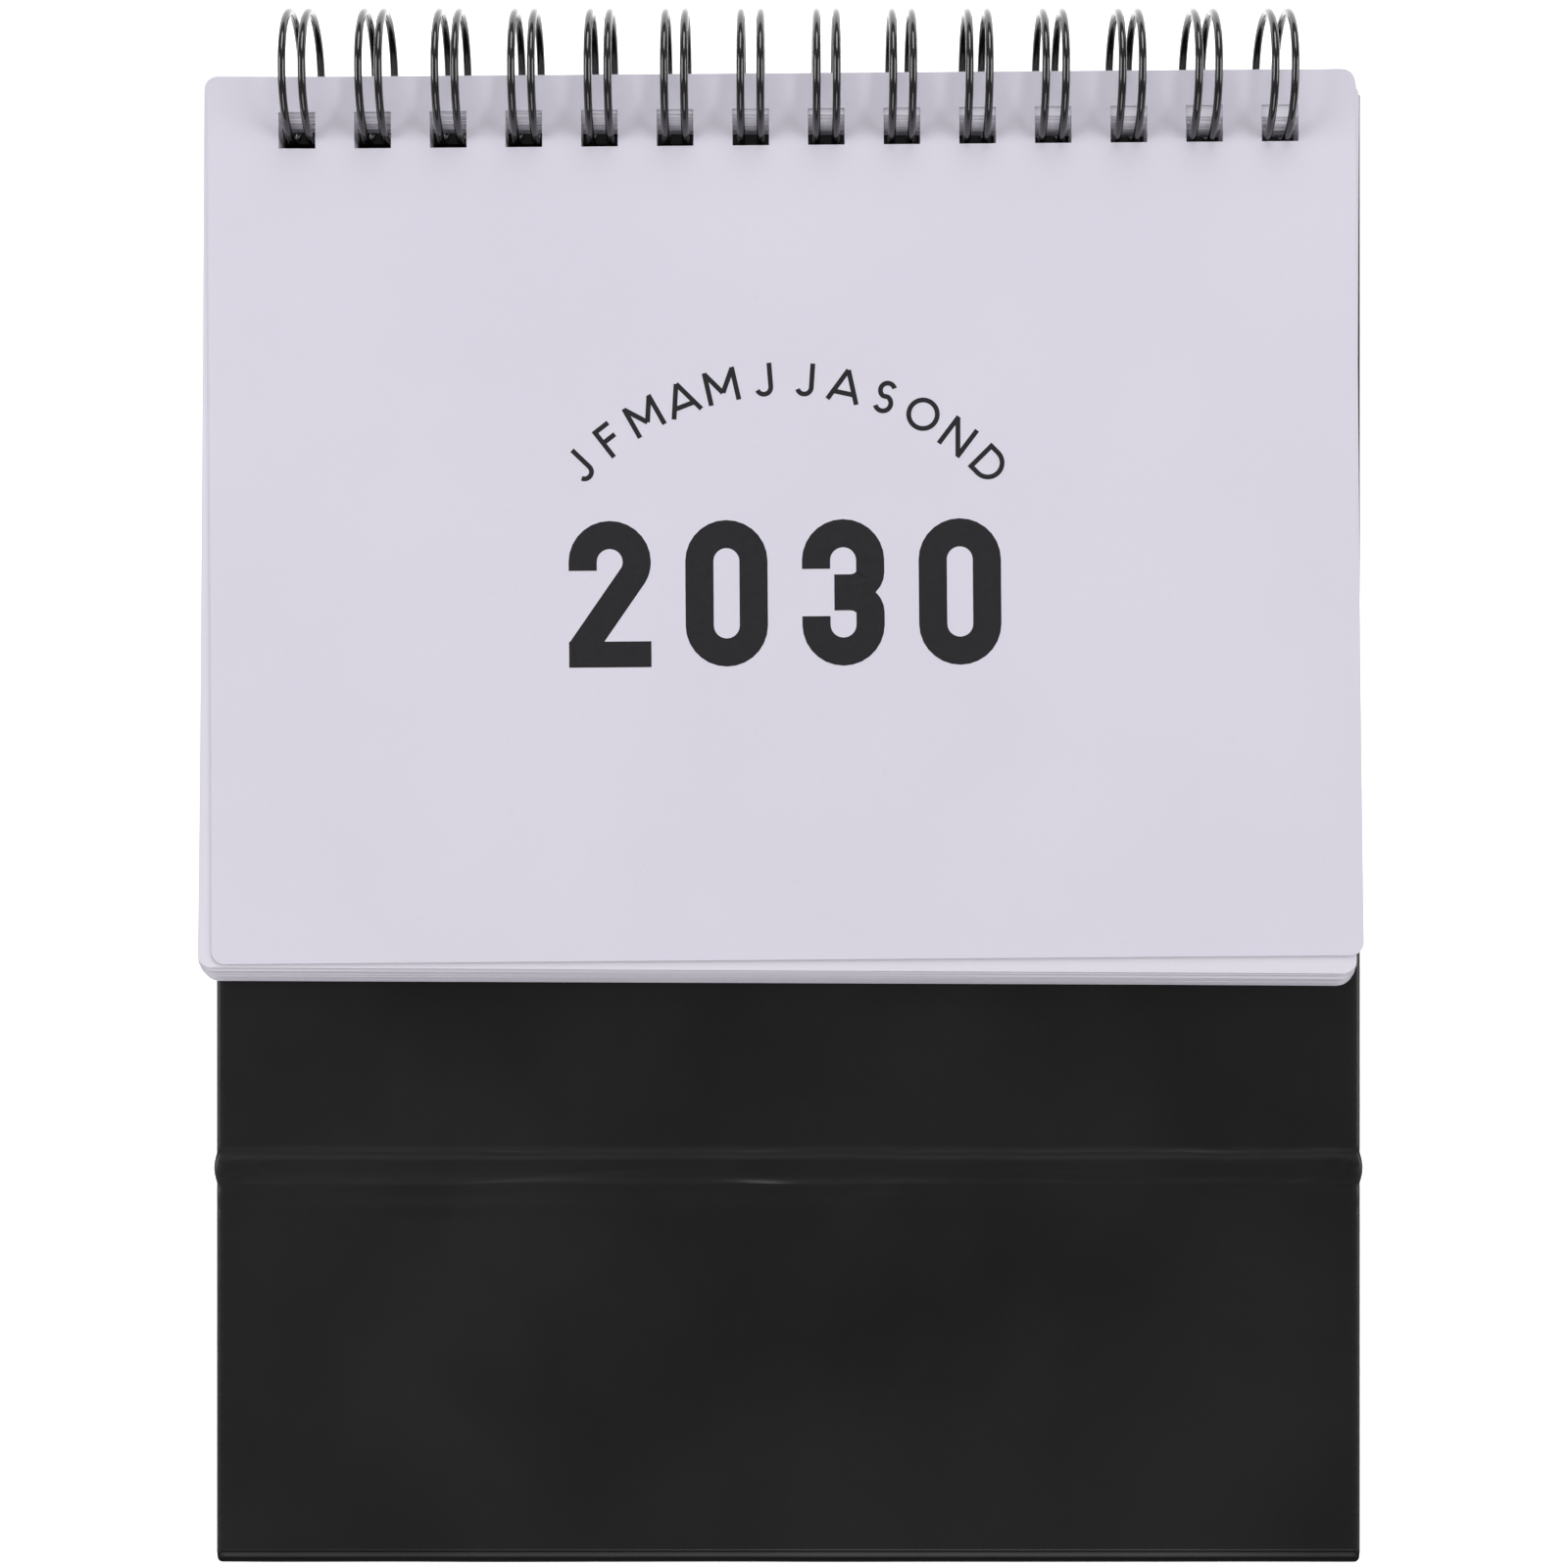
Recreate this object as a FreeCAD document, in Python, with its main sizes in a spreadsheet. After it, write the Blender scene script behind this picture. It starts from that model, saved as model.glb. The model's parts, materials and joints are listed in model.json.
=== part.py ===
"""Flip desk calendar: a black four-panel folding stand with a twin-loop wire and thirteen sheets.

The calendar lies closed on its back. X runs along the wire, Y points from the base towards the
wire and Z points up out of the cover sheet. The origin is the middle of the outer face of the
base's rear half, in one plane with the back board's outer face. Only the wire reaches lower.

A board is a greyboard core in a black outer wrap. The wrap turns in round the core's free edges,
and a paper lining is pasted over the turned-in edges.
"""
import FreeCAD, Part
import math
import os
import Sketcher

doc = FreeCAD.newDocument("desk_calendar")

# Driving dimensions in millimetres and degrees.
SIZES = {
    # Stand
    "board_width": 129.5,
    "board_height": 121.6,
    "base_half_height": 41.4,
    "crease_gap": 3.5,
    "core_thickness": 1.4,
    "wrap_thickness": 0.2,
    "lining_thickness": 0.2,
    "board_spacing": 0.2,
    "turn_in": 12.0,
    "lining_margin": 3.5,
    # Wire
    "ring_radius": 7.15,
    "wire_drop": 1.5,
    "wire_diameter": 0.9,
    "loop_count": 14,
    "strand_spacing": 2.2,
    "link_bend_radius": 0.8,
    "spine_angle": 278.0,
    "seam_angle": 28.0,
    # Punched holes
    "hole_pitch": 8.467,
    "pitch_shortfall": 0.047,
    "hole_side_clearance": 0.389,
    "hole_sweep_clearance": 0.472,
    "board_edge_to_hole": 5.0,
    "sheet_edge_to_hole": 6.0,
    # Sheets
    "cover_side_margin": 0.45,
    "cover_height": 99.2,
    "month_side_margin": 0.05,
    "month_height": 99.8,
    "sheet_thickness": 0.22,
    "sheet_gap": 0.05,
    "sheet_corner": 1.5,
    "row_offset": 0.8,
    "cover_turn": 0.45,
    "month_turn": -0.3,
    "month_turn_step": 0.07,
    "lift_share": 0.93,
}
MONTH_NAMES = ("january", "february", "march", "april", "may", "june", "july",
               "august", "september", "october", "november", "december")

sheet = doc.addObject("Spreadsheet::Sheet", "Sizes")
for row, (alias, amount) in enumerate(SIZES.items(), start=1):
    sheet.set(f"A{row}", alias)
    sheet.set(f"B{row}", str(amount))
    sheet.setAlias(f"B{row}", alias)
doc.recompute()

parts = {}


def keep(node, thing):
    """Label a finished sub-part and list it for export under its node name."""
    thing.Label = node
    parts[node] = thing


def bind(thing, **expressions):
    """Bind properties to expressions; double underscores in a name stand for dots."""
    for name, expression in expressions.items():
        thing.setExpression(name.replace("__", "."), expression)


# Expressions that several pieces share.
FACE = "(Sizes.wrap_thickness)"
SHELL = "(2 * Sizes.wrap_thickness + Sizes.core_thickness)"
BOARD = f"({SHELL} + Sizes.lining_thickness)"
FRONT_LOW = f"({BOARD} + Sizes.board_spacing)"
STACK = f"({FRONT_LOW} + {BOARD})"
BASE_LOW = "(-Sizes.base_half_height / 2)"
BASE_HIGH = "(Sizes.base_half_height / 2)"
BOARD_LOW = f"({BASE_HIGH} + Sizes.crease_gap)"
BOARD_TOP = f"({BOARD_LOW} + Sizes.board_height)"
WIRE_RADIUS = "(Sizes.wire_diameter / 2)"
HALF_PAIR = "(Sizes.strand_spacing / 2)"
# The outer and inner faces of the bent wire, measured from the wire's axis.
RING_OUTER = f"(Sizes.ring_radius + {WIRE_RADIUS})"
RING_INNER = f"(Sizes.ring_radius - {WIRE_RADIUS})"
RING_HEIGHT = f"({RING_OUTER} - Sizes.wire_drop)"
# The loops stand a little closer together than the holes they pass through.
LOOP_PITCH = "(Sizes.hole_pitch - Sizes.pitch_shortfall)"
TIP_ANGLE = "(Sizes.spine_angle - Sizes.seam_angle)"
SHEET_PITCH = "(Sizes.sheet_thickness + Sizes.sheet_gap)"
COVER_WIDTH = "(Sizes.board_width - 2 * Sizes.cover_side_margin)"
MONTH_WIDTH = "(Sizes.board_width - 2 * Sizes.month_side_margin)"


def slot_ends(low):
    """Where the slot that the wire sweeps in a board ends, as distances from the wire's axis."""
    upper = f"({RING_HEIGHT} - {low} - {BOARD})"
    lower = f"({RING_HEIGHT} - {low})"
    return f"sqrt({RING_OUTER}^2 - {upper}^2)", f"sqrt({RING_INNER}^2 - {lower}^2)"


def board_crossing(low):
    """Distance from the wire's axis to the middle of the slot that the wire sweeps in a board."""
    far, near = slot_ends(low)
    return f"(({far} + {near}) / 2)"


# One punch makes every hole: it clears a pair of strands across and the longest slot lengthways.
HOLE_WIDTH = (f"(Sizes.strand_spacing + Sizes.wire_diameter + Sizes.hole_side_clearance"
              f" + (Sizes.loop_count - 1) * Sizes.pitch_shortfall)")
HOLE_DEPTH = "({} - {} + Sizes.hole_sweep_clearance)".format(*slot_ends("0"))
RING_Y = f"({BOARD_TOP} - Sizes.board_edge_to_hole + {board_crossing('0')})"


# ---- Boards ----

def box(name, width, y_low, y_high, z_low, z_high):
    """A box centred on X between two Y and two Z expressions."""
    block = doc.addObject("Part::Box", name)
    bind(block, Length=width, Width=f"({y_high}) - ({y_low})", Height=f"({z_high}) - ({z_low})",
         Placement__Base__x=f"-({width}) / 2", Placement__Base__y=y_low, Placement__Base__z=z_low)
    return block


def cut(name, base, tool):
    """Base with tool taken away."""
    result = doc.addObject("Part::Cut", name)
    result.Base = base
    result.Tool = tool
    return result


def join(name, pieces):
    """Several shapes fused into one."""
    result = doc.addObject("Part::MultiFuse", name)
    result.Shapes = pieces
    return result


def punch_row(name, centre_y, z_low):
    """The row of square holes through one board, as a tool that reaches past both faces."""
    pins = []
    for index in range(SIZES["loop_count"]):
        pin = doc.addObject("Part::Box", f"{name}_{index}")
        bind(pin, Length=HOLE_WIDTH, Width=HOLE_DEPTH, Height=f"3 * {BOARD}",
             Placement__Base__x=f"({index} - (Sizes.loop_count - 1) / 2) * Sizes.hole_pitch"
                                f" - {HOLE_WIDTH} / 2",
             Placement__Base__y=f"{centre_y} - {HOLE_DEPTH} / 2",
             Placement__Base__z=f"{z_low} - {BOARD}")
        pins.append(pin)
    row_tool = doc.addObject("Part::Compound", name)
    row_tool.Links = pins
    return row_tool


def panel(name, y_low, y_high, z_low, faces_up, punch=None):
    """Core, wrap and lining of one board; only a punched board has a free top edge to wrap."""
    level = {"outer": "0", "core_low": FACE, "core_high": f"({FACE} + Sizes.core_thickness)",
             "shell": SHELL, "inner": BOARD}

    def layer(from_level, to_level):
        """Z limits of a layer, counted from the outer face inwards."""
        if faces_up:
            return f"{z_low} + {BOARD} - {level[to_level]}", f"{z_low} + {BOARD} - {level[from_level]}"
        return f"{z_low} + {level[from_level]}", f"{z_low} + {level[to_level]}"

    def top(inset):
        return f"({y_high} - {inset})" if punch else y_high

    def finish(node, solid):
        keep(node, cut(f"{node}_punched", solid, punch) if punch else solid)

    core_width = "(Sizes.board_width - 2 * Sizes.wrap_thickness)"
    window_width = "(Sizes.board_width - 2 * Sizes.turn_in)"
    lining_width = "(Sizes.board_width - 2 * Sizes.lining_margin)"
    core = box(f"{name}_core_block", core_width, y_low, top("Sizes.wrap_thickness"),
               *layer("core_low", "core_high"))
    finish(f"{name}_core", core)

    envelope = box(f"{name}_wrap_block", "Sizes.board_width", y_low, y_high, *layer("outer", "shell"))
    space = box(f"{name}_core_space", core_width, y_low, top("Sizes.wrap_thickness"),
                *layer("core_low", "core_high"))
    window = box(f"{name}_wrap_window", window_width, y_low, top("Sizes.turn_in"),
                 *layer("core_high", "shell"))
    hollow = cut(f"{name}_wrap_hollow", envelope, space)
    finish(f"{name}_wrap", cut(f"{name}_wrap_sleeve", hollow, window))

    cover_paper = box(f"{name}_lining_face", lining_width, y_low, top("Sizes.lining_margin"),
                      *layer("shell", "inner"))
    pasted_paper = box(f"{name}_lining_pasted", window_width, y_low, top("Sizes.turn_in"),
                       *layer("core_high", "shell"))
    finish(f"{name}_lining", join(f"{name}_lining_sheet", [cover_paper, pasted_paper]))


FRONT_CROSSING = board_crossing(FRONT_LOW)
front_hole_y = f"({RING_Y} - {FRONT_CROSSING})"
back_punch = punch_row("back_punch", f"({BOARD_TOP} - Sizes.board_edge_to_hole)", "0")
front_punch = punch_row("front_punch", front_hole_y, FRONT_LOW)

panel("back_board", BOARD_LOW, BOARD_TOP, "0", False, back_punch)
panel("front_board", BOARD_LOW, f"({front_hole_y} + Sizes.board_edge_to_hole)", FRONT_LOW, True, front_punch)
panel("base_front", BASE_LOW, BASE_HIGH, FRONT_LOW, True)
panel("base_rear", BASE_LOW, BASE_HIGH, "0", False)

# Where two boards meet, the outer wrap alone bridges the gap between their cores.
keep("front_crease_strip", box("front_crease", "Sizes.board_width", BASE_HIGH, BOARD_LOW,
                               f"({STACK} - {FACE})", STACK))
keep("back_crease_strip", box("back_crease", "Sizes.board_width", BASE_HIGH, BOARD_LOW, "0", FACE))


def fold_rod(name, radius):
    """Half a rod along X, bulging towards -Y, on the line midway between the two base halves."""
    rod = doc.addObject("Part::Cylinder", name)
    rod.Angle = 180
    rod.Placement.Rotation = FreeCAD.Rotation(FreeCAD.Vector(0, 0, 1), FreeCAD.Vector(0, -1, 0),
                                              FreeCAD.Vector(1, 0, 0), "ZXY")
    bind(rod, Radius=radius, Height="Sizes.board_width",
         Placement__Base__x="-Sizes.board_width / 2", Placement__Base__y=BASE_LOW,
         Placement__Base__z=f"{STACK} / 2")
    return rod


keep("centre_fold_strip", cut("centre_fold", fold_rod("centre_fold_outer", f"{STACK} / 2"),
                              fold_rod("centre_fold_inner", f"{STACK} / 2 - {FACE}")))


# ---- Wire ----

def number(expression):
    """The present value of an expression of the sheet."""
    return float(sheet.evalExpression(expression))


ring_y = number(RING_Y)
ring_z = number(RING_HEIGHT)


def loop_x(index):
    """Middle of one loop along X."""
    return (index - (SIZES["loop_count"] - 1) / 2) * number(LOOP_PITCH)


def on_ring(x_place, angle, along=0.0):
    """A placement on the wire's circle: local X along the row, local Y along the wire, Z outwards.

    The angle is in degrees from +Y towards +Z, and along shifts the place along the wire's tangent.
    """
    turn = math.radians(angle)
    radius = number("Sizes.ring_radius")
    outwards = FreeCAD.Vector(0, math.cos(turn), math.sin(turn))
    forwards = FreeCAD.Vector(0, -math.sin(turn), math.cos(turn))
    place = FreeCAD.Vector(x_place, ring_y, ring_z) + outwards * radius + forwards * along
    return FreeCAD.Placement(place, FreeCAD.Rotation(FreeCAD.Vector(-1, 0, 0), forwards, outwards, "ZYX"))


def bend(name, radius, sweep, placement, start=0.0):
    """A bent stretch of wire: part of a torus that starts at an angle from local X."""
    piece = doc.addObject("Part::Torus", name)
    bind(piece, Radius1=radius, Radius2=WIRE_RADIUS, Angle3=sweep)
    spin = FreeCAD.Placement(FreeCAD.Vector(), FreeCAD.Rotation(FreeCAD.Vector(0, 0, 1), start))
    piece.Placement = placement * spin
    return piece


def strand(name, x_place):
    """One round of wire about the ring axis, from the spine over the top to the tip."""
    start = number("Sizes.spine_angle")
    piece = doc.addObject("Part::Torus", name)
    bind(piece, Radius1="Sizes.ring_radius", Radius2=WIRE_RADIUS,
         Angle3="360 - Sizes.seam_angle")
    spin = FreeCAD.Rotation(FreeCAD.Vector(1, 0, 0), start)
    upright = FreeCAD.Rotation(FreeCAD.Vector(0, 1, 0), FreeCAD.Vector(0, 0, 1),
                               FreeCAD.Vector(1, 0, 0), "ZXY")
    piece.Placement = FreeCAD.Placement(FreeCAD.Vector(x_place, ring_y, ring_z), spin * upright)
    return piece


half_pair = number(HALF_PAIR)
link_bend = number("Sizes.link_bend_radius")
for index in range(SIZES["loop_count"]):
    node = f"wire_loop_{index + 1:02d}"
    centre = loop_x(index)
    strands = [strand(f"{node}_{side}", centre + offset)
               for side, offset in (("left", -half_pair), ("right", half_pair))]
    tip = bend(f"{node}_tip", HALF_PAIR, "180", on_ring(centre, number(TIP_ANGLE)))
    keep(node, join(f"{node}_wire", strands + [tip]))

links = []
spine_angle = number("Sizes.spine_angle")
for index in range(SIZES["loop_count"] - 1):
    name = f"wire_link_{index + 1:02d}"
    left = loop_x(index) + half_pair
    right = loop_x(index + 1) - half_pair
    left_bend = bend(f"{name}_left", "Sizes.link_bend_radius", "90",
                     on_ring(left + link_bend, spine_angle), start=270)
    right_bend = bend(f"{name}_right", "Sizes.link_bend_radius", "90",
                      on_ring(right - link_bend, spine_angle), start=180)
    run = doc.addObject("Part::Cylinder", f"{name}_run")
    bind(run, Radius=WIRE_RADIUS,
         Height=f"{LOOP_PITCH} - Sizes.strand_spacing - 2 * Sizes.link_bend_radius")
    along_x = FreeCAD.Placement(FreeCAD.Vector(), FreeCAD.Rotation(FreeCAD.Vector(0, 1, 0), -90))
    run.Placement = on_ring(left + link_bend, spine_angle, -link_bend) * along_x
    links.append(join(name, [left_bend, run, right_bend]))
spine = doc.addObject("Part::Compound", "wire_spine_links_group")
spine.Links = links
keep("wire_spine_links", spine)


# ---- Sheets ----

def sketch_on_xy(body, name):
    """A sketch on the body's own XY plane."""
    plane = next(feature for feature in body.Origin.OriginFeatures if feature.Role == "XY_Plane")
    sketch = body.newObject("Sketcher::SketchObject", name)
    sketch.AttachmentSupport = [(plane, "")]
    sketch.MapMode = "FlatFace"
    return sketch


def rectangle(sketch, width, height, left, low):
    """A constrained rectangle: its size and its lower left corner are expressions."""
    corners = [FreeCAD.Vector(x, y, 0) for x, y in ((0, 0), (1, 0), (1, 1), (0, 1))]
    start, end, origin = 1, 2, -1
    for side, corner in enumerate(corners):
        sketch.addGeometry(Part.LineSegment(corner, corners[(side + 1) % len(corners)]))
    for side in range(len(corners)):
        sketch.addConstraint(Sketcher.Constraint("Coincident", side, end, (side + 1) % len(corners), start))
        sketch.addConstraint(Sketcher.Constraint("Vertical" if side % 2 else "Horizontal", side))
    for kind, ends, expression in (("DistanceX", (0, start, 0, end), width),
                                   ("DistanceY", (1, start, 1, end), height),
                                   ("DistanceX", (origin, start, 0, start), left),
                                   ("DistanceY", (origin, start, 0, start), low)):
        place = sketch.addConstraint(Sketcher.Constraint(kind, *ends, number(expression)))
        sketch.setExpression(f"Constraints[{place}]", expression)


def paper_sheet(node, width, height):
    """A punched sheet whose own origin is the middle of its row of holes, on its lower face."""
    body = doc.addObject("PartDesign::Body", f"{node}_body")
    outline = sketch_on_xy(body, f"{node}_outline")
    rectangle(outline, width, height, f"-{width} / 2 - Sizes.row_offset",
              f"Sizes.sheet_edge_to_hole - {height}")
    pad = body.newObject("PartDesign::Pad", f"{node}_pad")
    pad.Profile = outline
    pad.setExpression("Length", "Sizes.sheet_thickness")
    doc.recompute()
    corners = [f"Edge{place}" for place, edge in enumerate(pad.Shape.Edges, start=1)
               if abs(edge.tangentAt(edge.FirstParameter).z) > abs(edge.tangentAt(edge.FirstParameter).x)
               and abs(edge.tangentAt(edge.FirstParameter).z) > abs(edge.tangentAt(edge.FirstParameter).y)]
    rounding = body.newObject("PartDesign::Fillet", f"{node}_corners")
    rounding.Base = (pad, corners)
    rounding.setExpression("Radius", "Sizes.sheet_corner")
    hole = sketch_on_xy(body, f"{node}_hole")
    rectangle(hole, HOLE_WIDTH, HOLE_DEPTH,
              f"-(Sizes.loop_count - 1) / 2 * Sizes.hole_pitch - {HOLE_WIDTH} / 2", f"-{HOLE_DEPTH} / 2")
    punch = body.newObject("PartDesign::Pocket", f"{node}_punch")
    punch.Profile = hole
    punch.Type = "ThroughAll"
    punch.Midplane = True
    row_of_holes = body.newObject("PartDesign::LinearPattern", f"{node}_holes")
    row_of_holes.Originals = [punch]
    row_of_holes.Direction = (hole, ["H_Axis"])
    row_of_holes.setExpression("Length", "(Sizes.loop_count - 1) * Sizes.hole_pitch")
    row_of_holes.setExpression("Occurrences", "Sizes.loop_count")
    body.Tip = row_of_holes
    keep(node, body)
    return body


def hang(body, order, turn):
    """Hang a sheet on the wire: order 0 is the cover, which is pushed up; the others hang lower."""
    level = len(MONTH_NAMES) - order
    z_low = number(f"{STACK} + {level + 1} * {SHEET_PITCH} - Sizes.sheet_thickness")
    off_axis = z_low + number("Sizes.sheet_thickness / 2") - ring_z
    crossing = math.sqrt(number("Sizes.ring_radius") ** 2 - off_axis ** 2)
    half_row = number("(Sizes.loop_count - 1) / 2 * Sizes.hole_pitch")
    play = number(f"({HOLE_DEPTH} - Sizes.wire_diameter) / 2") - half_row * math.sin(abs(math.radians(turn)))
    drop = math.sqrt(order / len(MONTH_NAMES))
    lift = number("Sizes.lift_share") * play * (1 - 2 * drop)
    body.Placement = FreeCAD.Placement(FreeCAD.Vector(0, ring_y - crossing + lift, z_low),
                                       FreeCAD.Rotation(FreeCAD.Vector(0, 0, 1), turn))


hang(paper_sheet("cover_sheet", COVER_WIDTH, "Sizes.cover_height"), 0, number("Sizes.cover_turn"))
TURN_CYCLE = 3
for order, month in enumerate(MONTH_NAMES, start=1):
    fan = order % TURN_CYCLE - 1
    hang(paper_sheet(f"{month}_sheet", MONTH_WIDTH, "Sizes.month_height"), order,
         number(f"Sizes.month_turn + {fan} * Sizes.month_turn_step"))


# ---- Check and export ----

doc.recompute()
for thing in doc.Objects:
    if "Invalid" in thing.State or "Error" in thing.State:
        raise RuntimeError(f"{thing.Name} did not rebuild: {thing.State}")
for node, thing in parts.items():
    if thing.Shape.isNull() or not thing.Shape.isValid():
        raise RuntimeError(f"{node} has no valid shape")
os.makedirs("parts", exist_ok=True)
for node, thing in parts.items():
    thing.Shape.exportStep(f"parts/{node}.step")
print(f"{len(parts)} sub-parts, wire axis at y {ring_y:.3f} z {ring_z:.3f}")
for label, expression in (("board top", BOARD_TOP), ("crease high", BOARD_LOW), ("crease low", BASE_HIGH),
                          ("base low", BASE_LOW), ("stack", STACK)):
    print(f"{label}: {number(expression):.3f}")
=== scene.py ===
"""Looks of the flip desk calendar: paper, print, black wrap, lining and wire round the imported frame."""
import json
import math

import bmesh
import bpy
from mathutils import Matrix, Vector
from mathutils import noise


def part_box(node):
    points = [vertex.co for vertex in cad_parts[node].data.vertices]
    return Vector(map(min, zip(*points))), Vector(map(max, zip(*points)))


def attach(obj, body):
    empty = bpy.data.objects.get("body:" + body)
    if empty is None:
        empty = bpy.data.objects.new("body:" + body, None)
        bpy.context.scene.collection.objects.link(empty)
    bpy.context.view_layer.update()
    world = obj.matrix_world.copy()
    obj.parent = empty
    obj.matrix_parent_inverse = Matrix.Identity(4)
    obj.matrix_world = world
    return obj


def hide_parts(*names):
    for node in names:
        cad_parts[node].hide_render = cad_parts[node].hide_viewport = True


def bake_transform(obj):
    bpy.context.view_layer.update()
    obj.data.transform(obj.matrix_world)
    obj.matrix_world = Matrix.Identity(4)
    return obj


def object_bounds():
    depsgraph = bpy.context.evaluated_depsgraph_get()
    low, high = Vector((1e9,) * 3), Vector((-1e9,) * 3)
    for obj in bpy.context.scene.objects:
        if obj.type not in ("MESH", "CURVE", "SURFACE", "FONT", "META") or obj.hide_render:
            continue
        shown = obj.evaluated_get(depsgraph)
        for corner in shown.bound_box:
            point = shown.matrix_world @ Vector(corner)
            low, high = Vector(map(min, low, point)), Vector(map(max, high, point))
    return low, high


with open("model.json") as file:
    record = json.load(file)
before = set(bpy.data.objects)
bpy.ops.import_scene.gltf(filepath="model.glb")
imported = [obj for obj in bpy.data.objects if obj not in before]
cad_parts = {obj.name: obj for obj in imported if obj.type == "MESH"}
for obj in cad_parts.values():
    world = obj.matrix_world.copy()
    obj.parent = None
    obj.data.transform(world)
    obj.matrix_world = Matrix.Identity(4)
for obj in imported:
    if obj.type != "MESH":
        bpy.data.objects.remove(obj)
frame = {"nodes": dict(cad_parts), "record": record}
cad_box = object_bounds()

MM = 0.001
MONTHS = ("january", "february", "march", "april", "may", "june", "july",
          "august", "september", "october", "november", "december")
SHEETS = ("cover_sheet",) + tuple(f"{month}_sheet" for month in MONTHS)
LOOPS = tuple(sorted(name for name in frame["nodes"] if name.startswith("wire_loop_")))

# Places read from the frame.
(front_low, front_high) = (Vector(corner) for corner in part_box("front_board_wrap"))
(base_low, base_high) = (Vector(corner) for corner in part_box("base_front_wrap"))
(cover_low, cover_high) = (Vector(corner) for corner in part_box("cover_sheet"))
(stack_low, _) = (Vector(corner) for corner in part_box("december_sheet"))
(first_low, first_high) = (Vector(corner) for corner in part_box(LOOPS[0]))
(last_low, last_high) = (Vector(corner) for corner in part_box(LOOPS[-1]))
ring_joint = next(joint for joint in frame["record"]["behaviour"]["joints"] if joint["name"] == "stand_open")
ring_axis = Vector(ring_joint["pos_m"])
board_half = front_high.x
crease_high, crease_low = front_low.y, base_high.y
outer_z = front_high.z


# ---- Material building ----

class Value:
    """A shader socket that takes Python arithmetic; every operation adds one Math node."""

    def __init__(self, shader, socket):
        self.shader = shader
        self.socket = socket

    def _math(self, operation, *inputs):
        return self.shader.add("ShaderNodeMath", {"operation": operation}, dict(enumerate(inputs)))[0]

    def __add__(self, other):
        return self._math("ADD", self, other)

    def __sub__(self, other):
        return self._math("SUBTRACT", self, other)

    def __rsub__(self, other):
        return self._math("SUBTRACT", other, self)

    def __mul__(self, other):
        return self._math("MULTIPLY", self, other)

    __radd__ = __add__
    __rmul__ = __mul__

    def size(self):
        return self._math("ABSOLUTE", self)

    def ramp(self, low, high):
        """Zero at low, one at high, smooth between."""
        return self.shader.add("ShaderNodeMapRange", {"interpolation_type": "SMOOTHSTEP"},
                               {"Value": self, "From Min": low, "From Max": high})[0]


class Shader:
    """One material with a Principled shader, and a single method that adds any other node."""

    def __init__(self, name, **constants):
        self.material = bpy.data.materials.new(name)
        self.material.use_nodes = True
        self.tree = self.material.node_tree
        self.surface = self.tree.nodes["Principled BSDF"]
        for socket, amount in constants.items():
            self.surface.inputs[socket.replace("_", " ")].default_value = amount

    def add(self, kind, settings, sockets):
        node = self.tree.nodes.new(kind)
        for name, setting in settings.items():
            setattr(node, name, setting)
        for name, source in sockets.items():
            if isinstance(source, Value):
                self.tree.links.new(source.socket, node.inputs[name])
            else:
                node.inputs[name].default_value = source
        return [Value(self, output) for output in node.outputs if output.enabled]

    def place(self):
        """Object coordinates."""
        node = self.tree.nodes.new("ShaderNodeTexCoord")
        return Value(self, node.outputs["Object"])

    def grain(self, place, scale, detail=2.0, roughness=0.5, distortion=0.0):
        return self.add("ShaderNodeTexNoise", {}, {"Vector": place, "Scale": scale, "Detail": detail,
                                                   "Roughness": roughness, "Distortion": distortion})[0]

    def stretched(self, place, scale):
        return self.add("ShaderNodeMapping", {}, {"Vector": place, "Scale": scale})[0]

    def axes(self, place):
        return self.add("ShaderNodeSeparateXYZ", {}, {"Vector": place})

    def blend_colour(self, factor, low, high):
        """A colour between low and high; each is an RGB tuple or a Value."""
        node = self.tree.nodes.new("ShaderNodeMix")
        node.data_type = "RGBA"
        for name, source in (("Factor", factor), ("A", low), ("B", high)):
            socket = next(one for one in node.inputs if one.name == name and one.enabled)
            if isinstance(source, Value):
                self.tree.links.new(source.socket, socket)
            else:
                socket.default_value = (*source, 1.0) if isinstance(source, tuple) else source
        return Value(self, next(one for one in node.outputs if one.enabled))

    def feed(self, socket, source):
        self.tree.links.new(source.socket, self.surface.inputs[socket])

    def bump(self, height, strength, distance):
        normal = self.add("ShaderNodeBump", {}, {"Height": height, "Strength": strength,
                                                 "Distance": distance})[0]
        self.feed("Normal", normal)


def fibre_paper(name, tone, shade):
    """Smooth matt card: faint cloudiness in the sheet and a fine felt of fibres."""
    paper = Shader(name, Roughness=0.82, Specular_IOR_Level=0.28)
    place = paper.place()
    cloud = paper.grain(place, 38.0, 3.0)
    fibre = paper.grain(paper.stretched(place, (1.0, 1.6, 1.0)), 2600.0, 2.0, 0.6)
    fleck = paper.grain(place, 900.0, 1.0).ramp(0.72, 0.80)
    mottle = cloud.ramp(0.3, 0.7) * 0.55 + fibre * 0.45
    colour = paper.blend_colour(mottle, shade, tone)
    paper.feed("Base Color", paper.blend_colour(fleck * 0.25, colour, tuple(part * 0.93 for part in shade)))
    paper.feed("Roughness", fibre * 0.12 + 0.76)
    paper.bump(fibre * 0.7 + cloud * 0.3, 0.16, 0.00006)
    return paper.material


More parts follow.
